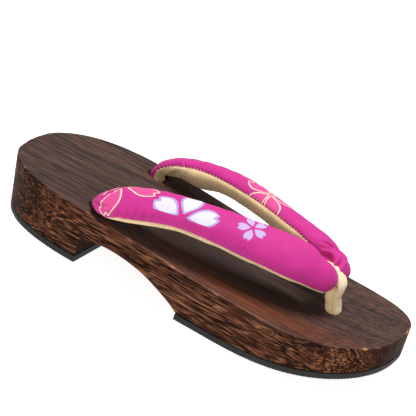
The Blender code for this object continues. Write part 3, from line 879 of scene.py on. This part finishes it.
def loop_rows(middle, half, up, top, under):
    """The loop round the fold's middle section."""
    clear = LOOP_CLEAR + LOOP_THICKNESS / 2
    ahead = half.normalized() * (half.length + LOOP_CLEAR_AHEAD + LOOP_THICKNESS / 2)
    rows = []
    for degrees, fullness, shift in LOOP:
        angle = math.radians(degrees)
        swelling = top if math.sin(angle) > 0 else under
        point = middle + ahead * math.cos(angle) + up * (swelling + clear) * math.sin(angle)
        width = LOOP_PINCH + (LOOP_WIDTH - LOOP_PINCH) * fullness
        rows.append((point.x, point.y + shift * LOOP_WIDTH, point.z, width / 2, LOOP_THICKNESS / 2))
    return rows


def leg_rows(direction, knot_z, stem_top):
    """One leg of the stem, from the knot up to the loop; direction is 1 for the front one, -1 behind."""
    mouth = footbed_height(FRONT_HOLE)
    inside, leg = STEM_IN_HOLE / 2, STEM_LENGTHWISE / 4
    rows = [(FRONT_HOLE + inside * direction, 0, z, STEM_IN_HOLE * 0.9, inside * 0.95)
            for z in (knot_z, mouth - STEM_NARROWS)]
    for t in (0.0, 0.25, 0.5, 0.75):
        point = Vector((FRONT_HOLE, 0, mouth)).lerp(stem_top, t)
        waist = 1 - 0.05 * math.sin(math.pi * t)
        rows.append((point.x + leg * direction, 0, point.z + STEM_OVER_MOUTH * (1 - t),
                     STEM_ACROSS / 2 * waist, leg * 1.02))
    return rows


def make_thong(strap):
    """One folded strip of felt: up from the hole, over the fold and down beside itself."""
    fold = len(strap.along) // 2
    middle, half, up = (Vector(a[fold]) for a in (strap.middle, strap.half, strap.up))
    stem_top = middle + half + Vector((STEM_AHEAD, 0, -STEM_DROP))
    knot_z = recess_ceiling() - GAP - knot_seat(FRONT_KNOT_RADIUS, FRONT_KNOT_HEIGHT, FRONT_HOLE_RADIUS)
    loop = loop_rows(middle, half, up, strap.top[fold], strap.under[fold])
    rows = leg_rows(1, knot_z, stem_top) + loop + leg_rows(-1, knot_z, stem_top)[::-1]
    thong = skin("felt_thong", oval_rows(catmull_rom(rows, 9), seed=21))
    knot = make_knot("felt_knot", Vector((FRONT_HOLE, 0, knot_z)), Vector((0, 0, 1)), FRONT_KNOT_RADIUS,
                     FRONT_KNOT_HEIGHT, THONG_KNOT_CORD)
    return thong, knot


def tube(name, centres, radius, sides=12, closed=False):
    """A round tube along a list of points."""
    centres = np.array(centres)
    if closed:
        way = unit(np.roll(centres, -1, axis=0) - np.roll(centres, 1, axis=0))
    else:
        way = unit(np.gradient(centres, axis=0))
    side = unit(np.cross(way, np.array([0.31, 0.24, 0.92])))
    other = np.cross(way, side)
    angles = 2 * np.pi * np.arange(sides) / sides
    rows = (centres[:, None, :] + radius * (side[:, None, :] * np.cos(angles)[None, :, None]
                                            + other[:, None, :] * np.sin(angles)[None, :, None]))
    if closed:
        rows = np.concatenate([rows, rows[:1]], axis=0)
    return skin(name, rows, capped=not closed)


def make_knot(name, centre, axis, radius, height, cord):
    """A trefoil, drawn tight across its axis."""
    points = []
    count = 90
    flat = height / 2 - cord
    reach = (radius - cord) / 3
    turn = axis.to_track_quat("Z", "Y")
    for k in range(count):
        t = 2 * math.pi * k / count
        points.append(centre + turn @ Vector((reach * (math.sin(t) + 2 * math.sin(2 * t)),
                                              reach * (math.cos(t) - 2 * math.cos(2 * t)),
                                              -flat * math.sin(3 * t))))
    return tube(name, points, cord, closed=True)


def make_tails():
    made = []
    for side, word in ((1, "left"), (-1, "right")):
        enter, leave = rear_hole_axis(side)
        down = (leave - enter).normalized()
        start = enter + down * ((TAIL_DEPTH + GAP + CORD_PAST_TAIL) / -down.z)
        seat = knot_seat(TAIL_KNOT_RADIUS, TAIL_KNOT_HEIGHT, REAR_HOLE_RADIUS)
        centre = leave - down * (REAR_RECESS_DEPTH - GAP - seat)
        line = [start.lerp(centre, k / 12) for k in range(13)]
        cord = tube("tail_cord_" + word, line, TAIL_CORD_RADIUS, 20)
        knot = make_knot("tail_knot_" + word + "_cord", centre, down, TAIL_KNOT_RADIUS, TAIL_KNOT_HEIGHT,
                         TAIL_KNOT_CORD)
        made.append((word, cord, knot))
    return made


def make_fibres(thong):
    """Short stray fibres on the felt that shows."""
    points, faces = [], []
    mesh = thong.data
    lowest = footbed_height(FRONT_HOLE) + FIBRE_FREE
    usable = [p for p in mesh.polygons if p.center.z > lowest and len(p.vertices) == 4]
    for _ in range(FIBRES):
        face = random.choice(usable)
        corners = [mesh.vertices[i].co for i in face.vertices]
        a, b = random.random(), random.random()
        base = corners[0].lerp(corners[1], a).lerp(corners[3].lerp(corners[2], a), b)
        lean = Vector([random.uniform(-1, 1) for _ in range(3)])
        way = (face.normal + 0.9 * lean).normalized()
        side = way.orthogonal().normalized()
        other = way.cross(side)
        reach = random.uniform(*FIBRE_LENGTHS)
        start = len(points)
        for t, radius in FIBRE_RINGS:
            for j in range(3):
                angle = 2 * math.pi * j / 3
                off = (side * math.cos(angle) + other * math.sin(angle)) * radius
                points.append(base + way * reach * t + off)
        points.append(base + way * reach + side * reach * random.uniform(-0.25, 0.25))
        for j in range(3):
            after = (j + 1) % 3
            faces.append((start + j, start + after, start + 3 + after, start + 3 + j))
            faces.append((start + 3 + j, start + 3 + after, start + 6))
        faces.append((start + 2, start + 1, start))
    made = bpy.data.meshes.new("felt_fibres")
    made.from_pydata(points, [], faces)
    return add_object("felt_fibres", made)


# Materials

def srgb(red, green, blue):
    """A colour given as 8-bit screen values, for a shader."""
    def linear(value):
        value /= 255
        return value / 12.92 if value <= 0.04045 else ((value + 0.055) / 1.055) ** 2.4
    return (linear(red), linear(green), linear(blue), 1.0)


class Value:
    """A node's output, with arithmetic that adds Math nodes."""

    def __init__(self, graph, socket):
        self.graph, self.socket = graph, socket

    def __add__(self, other):
        return self.graph.math("ADD", self, other)

    def __sub__(self, other):
        return self.graph.math("SUBTRACT", self, other)

    def __rsub__(self, other):
        return self.graph.math("SUBTRACT", other, self)

    def __mul__(self, other):
        return self.graph.math("MULTIPLY", self, other)

    def __truediv__(self, other):
        return self.graph.math("DIVIDE", self, other)

    def __abs__(self):
        return self.graph.math("ABSOLUTE", self)


class Graph:
    """A material's nodes, with short names for the kinds used most."""

    def __init__(self, name):
        self.material = bpy.data.materials.new(name)
        self.material.use_nodes = True
        self.tree = self.material.node_tree
        self.shader = self.tree.nodes["Principled BSDF"]

    def put(self, socket, value):
        if isinstance(value, Value):
            self.tree.links.new(value.socket, socket)
        else:
            socket.default_value = value

    def node(self, kind, inputs=None, **settings):
        made = self.tree.nodes.new("ShaderNode" + kind)
        for key, value in settings.items():
            setattr(made, key, value)
        for key, value in (inputs or {}).items():
            self.put(made.inputs[key], value)
        return made

    def value(self, output, kind, inputs=None, **settings):
        return Value(self, self.node(kind, inputs, **settings).outputs[output])

    def place(self):
        return self.value("Object", "TexCoord")

    def normal(self):
        return self.value("Normal", "NewGeometry")

    def split(self, vector):
        return [Value(self, socket) for socket in self.node("SeparateXYZ", {0: vector}).outputs]

    def math(self, operation, *values, clamp=False):
        return self.value(0, "Math", dict(enumerate(values)), operation=operation, use_clamp=clamp)

    def noise(self, vector, scale, detail=4.0, roughness=0.55):
        return self.value("Fac", "TexNoise", {"Vector": vector, "Scale": scale, "Detail": detail,
                                              "Roughness": roughness})

    def streaks(self, vector, scale, detail, roughness=0.55):
        """Noise with a scale for each axis."""
        stretched = self.value(0, "VectorMath", {0: vector, 1: scale}, operation="MULTIPLY")
        return self.noise(stretched, 1.0, detail, roughness)

    def ramp(self, value, low, high, to_low=0.0, to_high=1.0):
        """The value mapped from low..high to other limits, and held inside them."""
        return self.value(0, "MapRange", {"Value": value, "From Min": low, "From Max": high,
                                          "To Min": to_low, "To Max": to_high})

    def mix(self, share, first, second, blend="MIX"):
        return self.value(2, "Mix", {0: share, 6: first, 7: second}, data_type="RGBA", blend_type=blend)

    def bump(self, height, strength, distance):
        return self.value(0, "Bump", {"Height": height, "Strength": strength, "Distance": distance})

    def finish(self, **inputs):
        """The material with the shader's inputs, whose names are given in lower case."""
        for key, value in inputs.items():
            self.put(self.shader.inputs[key.replace("_", " ").title().replace("Ior", "IOR")], value)
        return self.material


def wood_material():
    """Dark and grey where it faces up, partly its own charred tone and partly painted sheen, and reddish on
    the walls, with rings that swirl at two knots. Painted shade darkens the end faces, the walls towards the
    heel and the footbed under the near strap, and a painted highlight runs along the near rim.
    """
    g = Graph("brushed_dark_wood")
    place = g.place()
    x, y, z = g.split(place)
    facing_x, _, facing_z = g.split(g.normal())
    top = g.ramp(facing_z, 0.70, 0.97)
    ends = g.ramp(abs(facing_x), 0.55, 0.95)

    def spot(middle_x, reach_x, other, middle, reach):
        """1 at a place, fading to 0 round it."""
        a, b = (x - middle_x) / reach_x, (other - middle) / reach
        return g.math("EXPONENT", (a * a + b * b) * -1.0)

    heel_knot = spot(-0.094, 0.011, z, 0.019, 0.008)
    toe_knot = spot(0.083, 0.014, z, 0.020, 0.006)
    wave = g.streaks(place, (6.0, 4.0, 70.0), 2.0, 0.4)
    ring = y + wave * 0.034 + heel_knot * 0.014 + toe_knot * 0.010

    def along_rings(run, pitch, detail):
        return g.noise(g.value(0, "CombineXYZ", {"X": x * run, "Y": ring * pitch}), 1.0, detail, 0.6)

    bands = along_rings(2.5, 150.0, 1.0)
    lines = along_rings(16.0, 1150.0, 3.0)
    fibres = g.streaks(place, (26.0, 1000.0, 1000.0), 4.0, 0.62)
    grain = lines * 0.5 + fibres * 0.5
    fine = g.streaks(place, (60.0, 1900.0, 1900.0), 4.0, 0.6)
    pores = g.streaks(place, (95.0, 1250.0, 1250.0), 2.0, 0.5)

    # The top's grey colours: partly the wood's own charred tone, partly painted sheen.
    grey = g.mix(g.ramp(bands, 0.36, 0.62), srgb(50, 43, 44), srgb(86, 60, 50))
    grey = g.mix(g.ramp(grain, 0.44, 0.62), grey, srgb(110, 84, 74))
    grey = g.mix(g.ramp(fine, 0.46, 0.62, 0.0, 0.8), grey, srgb(30, 24, 25))
    warm = spot(0.044, 0.055, y, -0.030, 0.012) * g.ramp(bands, 0.30, 0.55, 0.6, 1.0)
    warm_brown = g.mix(g.ramp(grain, 0.44, 0.62), srgb(92, 42, 22), srgb(146, 74, 38))
    grey = g.mix(warm * 0.85, grey, warm_brown)
    # Painted shadow: the footbed is darkened under the near strap, where the strap's shade falls.
    painted_strap_shadow = spot(0.010, 0.072, y, -0.014, 0.018)
    grey = g.mix(painted_strap_shadow * 0.80, grey, srgb(36, 29, 29))

    red = g.mix(g.ramp(bands, 0.38, 0.62), srgb(50, 30, 23), srgb(98, 58, 42))
    red = g.mix(g.ramp(grain, 0.49, 0.60), red, srgb(162, 108, 76))
    red = g.mix(g.ramp(pores, 0.48, 0.56, 0.0, 0.9), red, srgb(26, 14, 11))
    # Painted shade: the walls grow darker towards the heel end.
    red = g.mix(g.ramp(x, -0.055, -0.085, 0.0, 0.35), red, srgb(34, 18, 12))
    # Painted shade: faces turned to the ends, such as the toe end and the heel block's front face, are
    # darkened.
    red = g.mix(ends * 0.70, red, srgb(34, 17, 12))

    # Painted sheen in part: the wood is greyer where it faces up than on the walls.
    colour = g.mix(top, red, grey)
    rim_wear_and_highlight = g.value("Fac", "Attribute", attribute_name="wear_and_highlight")
    patches = g.streaks(place, (55.0, 260.0, 260.0), 3.0, 0.6)
    # Painted highlight: a purple-grey line along the near rim, where its rounded edge would catch the light.
    # The light flecks below are bare wood.
    painted_rim_highlight = g.ramp(rim_wear_and_highlight, 0.80, 1.00) * g.ramp(patches, 0.44, 0.58) * g.ramp(x, -0.060, -0.035)
    colour = g.mix(painted_rim_highlight * 0.30, colour, srgb(126, 98, 98))
    flecks = g.ramp(rim_wear_and_highlight, 0.45, 0.95) * g.ramp(patches, 0.60, 0.67)
    colour = g.mix(flecks * 0.8, colour, srgb(200, 144, 98))

    relief = grain * 0.6 + fine * 0.4 - g.ramp(pores, 0.50, 0.62, 0.0, 0.35)
    return g.finish(base_color=colour, roughness=g.ramp(grain, 0.3, 0.7, 0.42, 0.56),
                    specular_ior_level=g.ramp(top, 0.0, 1.0, 0.015, 0.10),
                    normal=g.bump(relief, 0.5, 0.32 * MM))


def rubber_material():
    g = Graph("black_sole_rubber")
    place = g.place()
    x = g.split(place)[0]
    crumb = g.noise(place, 1400.0, 5.0, 0.65)
    dust = g.noise(place, 90.0, 3.0)
    colour = g.mix(g.ramp(crumb, 0.40, 0.70), srgb(14, 13, 13), srgb(28, 27, 26))
    colour = g.mix(g.ramp(dust, 0.50, 0.75, 0.0, 0.3), colour, srgb(66, 63, 60))
    underneath = g.ramp(g.split(g.normal())[2], -0.6, -0.9)
    tread = g.math("SINE", x * (2 * math.pi / TREAD_PITCH)) * underneath
    return g.finish(base_color=colour, roughness=0.72, normal=g.bump(crumb * 0.5 + tread, 0.6, 0.25 * MM))


# Places and reach are in strap widths, angles in degrees. A petal is drawn where it lies within the
# opening from the gate's direction.
Flower = namedtuple("Flower", "along across reach turn step width notch centre_gap gate opening")
PINK_REAR = Flower(-5.42, -0.42, 1.00, 15.0, 72.0, 0.215, 0.08, 0.08, 0.0, 180.0)
WHITE_MIDDLE = Flower(-3.68, 0.33, 0.81, -88.0, 65.0, 0.31, 0.05, 0.12, -88.0, 86.0)
LAVENDER_FRONT = Flower(-2.19, -0.12, 0.36, 19.0, 72.0, 0.30, 0.14, 0.12, 0.0, 180.0)
PINK_FRONT = Flower(2.708, -0.277, 0.72, 8.6, 72.0, 0.31, 0.10, 0.03, 0.0, 180.0)
PETAL_APART = 0.25 * MM
PRINT_EDGE = 0.02 * MM


def petals(g, along, across, flower):
    """How far inside a petal's edge a point lies, in metres; negative outside."""
    u, v = along - flower.along * STRAP_WIDTH, across - flower.across * STRAP_WIDTH
    radius = g.math("SQRT", u * u + v * v)
    angle = g.math("ARCTAN2", v, u)
    step = math.radians(flower.step)
    turned = angle + (step / 2 - math.radians(flower.turn))
    local = g.math("WRAP", turned, step, 0.0) - step / 2
    run = radius * g.math("COSINE", local)
    off = abs(radius * g.math("SINE", local))
    reach = flower.reach * STRAP_WIDTH
    root = flower.centre_gap * reach
    share = g.math("DIVIDE", run - root, 1.06 * reach - root, clamp=True)
    bulge = g.math("SINE", g.math("POWER", share, 1.25) * math.pi)
    half = g.math("POWER", g.math("MAXIMUM", bulge, 0.0), 0.72) * (flower.width * reach)
    notched_tip = off * 1.15 + reach * (1 - flower.notch) - run
    inside = g.math("MINIMUM", half - off, notched_tip * 0.65) - PETAL_APART / 2
    if flower.opening < 180:
        away = g.math("WRAP", angle - math.radians(flower.gate), math.pi, -math.pi)
        shown = g.math("LESS_THAN", abs(away), math.radians(flower.opening))
        inside = inside - (1.0 - shown)
    return inside


def cotton_material():
    g = Graph("printed_magenta_cotton")
    place = g.value("Vector", "Attribute", attribute_name="cloth_place")
    along, across, _ = g.split(place)
    thread = g.streaks(place, (1500.0, 5200.0, 0.0), 2.0)
    cross_thread = g.streaks(place, (5200.0, 1500.0, 0.0), 2.0)
    weave = thread * 0.5 + cross_thread * 0.5
    mottle = g.noise(place, 160.0, 3.0)
    colour = g.mix(g.ramp(weave, 0.36, 0.64), srgb(182, 31, 121), srgb(210, 51, 150))
    colour = g.mix(g.ramp(mottle, 0.4, 0.7, 0.0, 0.25), colour, srgb(172, 26, 112))

    cream, pink = srgb(236, 214, 176), srgb(216, 74, 144)
    for flower, border, border_colour, fill in (
            (PINK_REAR, 0.74 * MM, cream, pink),
            (PINK_FRONT, 0.76 * MM, cream, pink),
            (WHITE_MIDDLE, 1.3 * MM, srgb(172, 154, 212), srgb(218, 216, 230)),
            (LAVENDER_FRONT, 0.25 * MM, srgb(172, 148, 204), srgb(192, 172, 218))):
        inside = petals(g, along, across, flower)
        colour = g.mix(g.ramp(inside, -PRINT_EDGE, PRINT_EDGE), colour, border_colour)
        colour = g.mix(g.ramp(inside, border - PRINT_EDGE, border + PRINT_EDGE), colour, fill)

    colour = g.mix(0.10, colour, g.mix(weave, srgb(150, 40, 110), srgb(255, 235, 250)), "OVERLAY")
    return g.finish(base_color=colour, roughness=0.72, specular_ior_level=0.3, sheen_weight=0.08,
                    sheen_roughness=0.45, normal=g.bump(weave, 0.35, 0.16 * MM))


def velveteen_material():
    g = Graph("beige_ribbed_velveteen")
    place = g.value("Vector", "Attribute", attribute_name="cloth_place")
    along = g.split(place)[0]
    sway = g.streaks(place, (120.0, 120.0, 0.0), 2.0)
    rib = g.math("SINE", (along + sway * (0.6 * MM)) * (2 * math.pi / RIB_PITCH))
    nap = g.streaks(place, (2600.0, 1500.0, 0.0), 4.0)
    shade = g.noise(place, 130.0, 3.0)
    colour = g.mix(g.ramp(rib, -0.9, 0.9), srgb(206, 166, 112), srgb(255, 232, 182))
    colour = g.mix(g.ramp(nap, 0.35, 0.7, 0.0, 0.4), colour, srgb(250, 222, 176))
    colour = g.mix(g.ramp(shade, 0.4, 0.7, 0.0, 0.4), colour, srgb(200, 160, 110))
    return g.finish(base_color=colour, roughness=0.9, sheen_weight=0.25, sheen_roughness=0.5,
                    normal=g.bump(rib * 0.5 + nap * 0.6, 0.5, 0.18 * MM))


def felt_material():
    g = Graph("cream_felt")
    place = g.place()
    fuzz = g.noise(place, 1500.0, 6.0, 0.7)
    cloud = g.noise(place, 260.0, 3.0)
    colour = g.mix(g.ramp(fuzz, 0.35, 0.68), srgb(222, 196, 152), srgb(250, 234, 196))
    colour = g.mix(g.ramp(cloud, 0.42, 0.7, 0.0, 0.35), colour, srgb(214, 184, 138))
    # Painted light: the felt glows faintly, which lifts it where the straps shade it.
    return g.finish(base_color=colour, roughness=0.95, sheen_weight=0.4, sheen_roughness=0.6,
                    emission_color=srgb(236, 206, 150), emission_strength=0.18,
                    normal=g.bump(fuzz, 0.7, 0.3 * MM))


def thread_material():
    g = Graph("seam_thread")
    twist = g.noise(g.place(), 2400.0, 2.0)
    colour = g.mix(g.ramp(twist, 0.35, 0.65), srgb(240, 190, 190), srgb(255, 226, 206))
    return g.finish(base_color=colour, roughness=0.7, normal=g.bump(twist, 0.4, 0.1 * MM))


def floor_material():
    """Nearly white: its own light hides the shadow, as the photograph has none."""
    g = Graph("pale_floor")
    faint = g.noise(g.place(), 9.0, 3.0)
    colour = g.mix(faint, (0.44, 0.44, 0.44, 1.0), (0.46, 0.46, 0.46, 1.0))
    return g.finish(base_color=colour, roughness=0.9, specular_ior_level=0.1,
                    emission_color=(1.0, 1.0, 1.0, 1.0), emission_strength=0.92)


def dress(piece, material):
    piece.data.materials.clear()
    piece.data.materials.append(material)


# The studio

def add_camera():
    camera = bpy.data.objects.new("camera", bpy.data.cameras.new("camera"))
    bpy.context.scene.collection.objects.link(camera)
    camera.data.sensor_width = SENSOR
    camera.data.lens = FOCAL_PIXELS / PHOTO_PIXELS * SENSOR
    camera.data.clip_end = 20.0
    turn = Matrix((CAMERA_RIGHT, -CAMERA_DOWN, -CAMERA_FORWARD)).transposed()
    camera.matrix_world = Matrix.Translation(CAMERA_PLACE) @ turn.to_4x4()
    bpy.context.scene.camera = camera


def add_light(name, place, size, power):
    light = bpy.data.lights.new(name, "AREA")
    light.shape = "DISK"
    light.size = size
    light.energy = power
    thing = bpy.data.objects.new(name, light)
    thing.location = place
    thing.rotation_euler = (Vector((0, 0, 0.02)) - Vector(place)).to_track_quat("-Z", "Y").to_euler()
    bpy.context.scene.collection.objects.link(thing)


def add_studio():
    scene = bpy.context.scene
    scene.view_settings.view_transform = "Standard"
    scene.world = bpy.data.worlds.new("studio")
    scene.world.use_nodes = True
    background = scene.world.node_tree.nodes["Background"]
    background.inputs["Color"].default_value = (1.0, 1.0, 1.0, 1.0)
    background.inputs["Strength"].default_value = 0.24
    add_light("overhead", (-0.06, 0.06, 1.25), 0.55, 17.5)
    add_light("front", (0.45, -0.75, 0.50), 0.5, 1.2)
    bpy.ops.mesh.primitive_plane_add(size=6.0)
    floor = bpy.context.object
    floor.name = "floor"
    dress(floor, floor_material())


def main():
    add_camera()
    add_studio()
    wood, rubber, cotton = wood_material(), rubber_material(), cotton_material()
    velveteen, felt, thread = velveteen_material(), felt_material(), thread_material()

    board = make_board()
    heel_pad, forefoot_pad = make_pads()
    strap = whole_strap()
    cover = make_strap_skin("padded_cover", strap, True)
    lining = make_strap_skin("padded_lining", strap, False)
    stitches = make_stitches(strap)
    thong, thong_knot = make_thong(strap)
    fibres = make_fibres(thong)

    finishes = [(board, wood, "wood"), (heel_pad, rubber, "rubber"), (forefoot_pad, rubber, "rubber"),
                (cover, cotton, "cotton"), (lining, velveteen, "velveteen"), (stitches, thread, "cotton"),
                (thong, felt, "felt"), (thong_knot, felt, "felt"), (fibres, felt, "felt")]
    for word, cord, knot in make_tails():
        finishes += [(cord, felt, "felt"), (knot, felt, "felt")]
        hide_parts("tail_knot_" + word)
    for piece, material, slot in finishes:
        dress(piece, material)
        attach(piece, "root")
    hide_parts("board")
    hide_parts("heel_pad")
    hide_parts("forefoot_pad")
    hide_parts("strap_cover")
    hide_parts("strap_lining")
    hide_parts("toe_thong")


main()
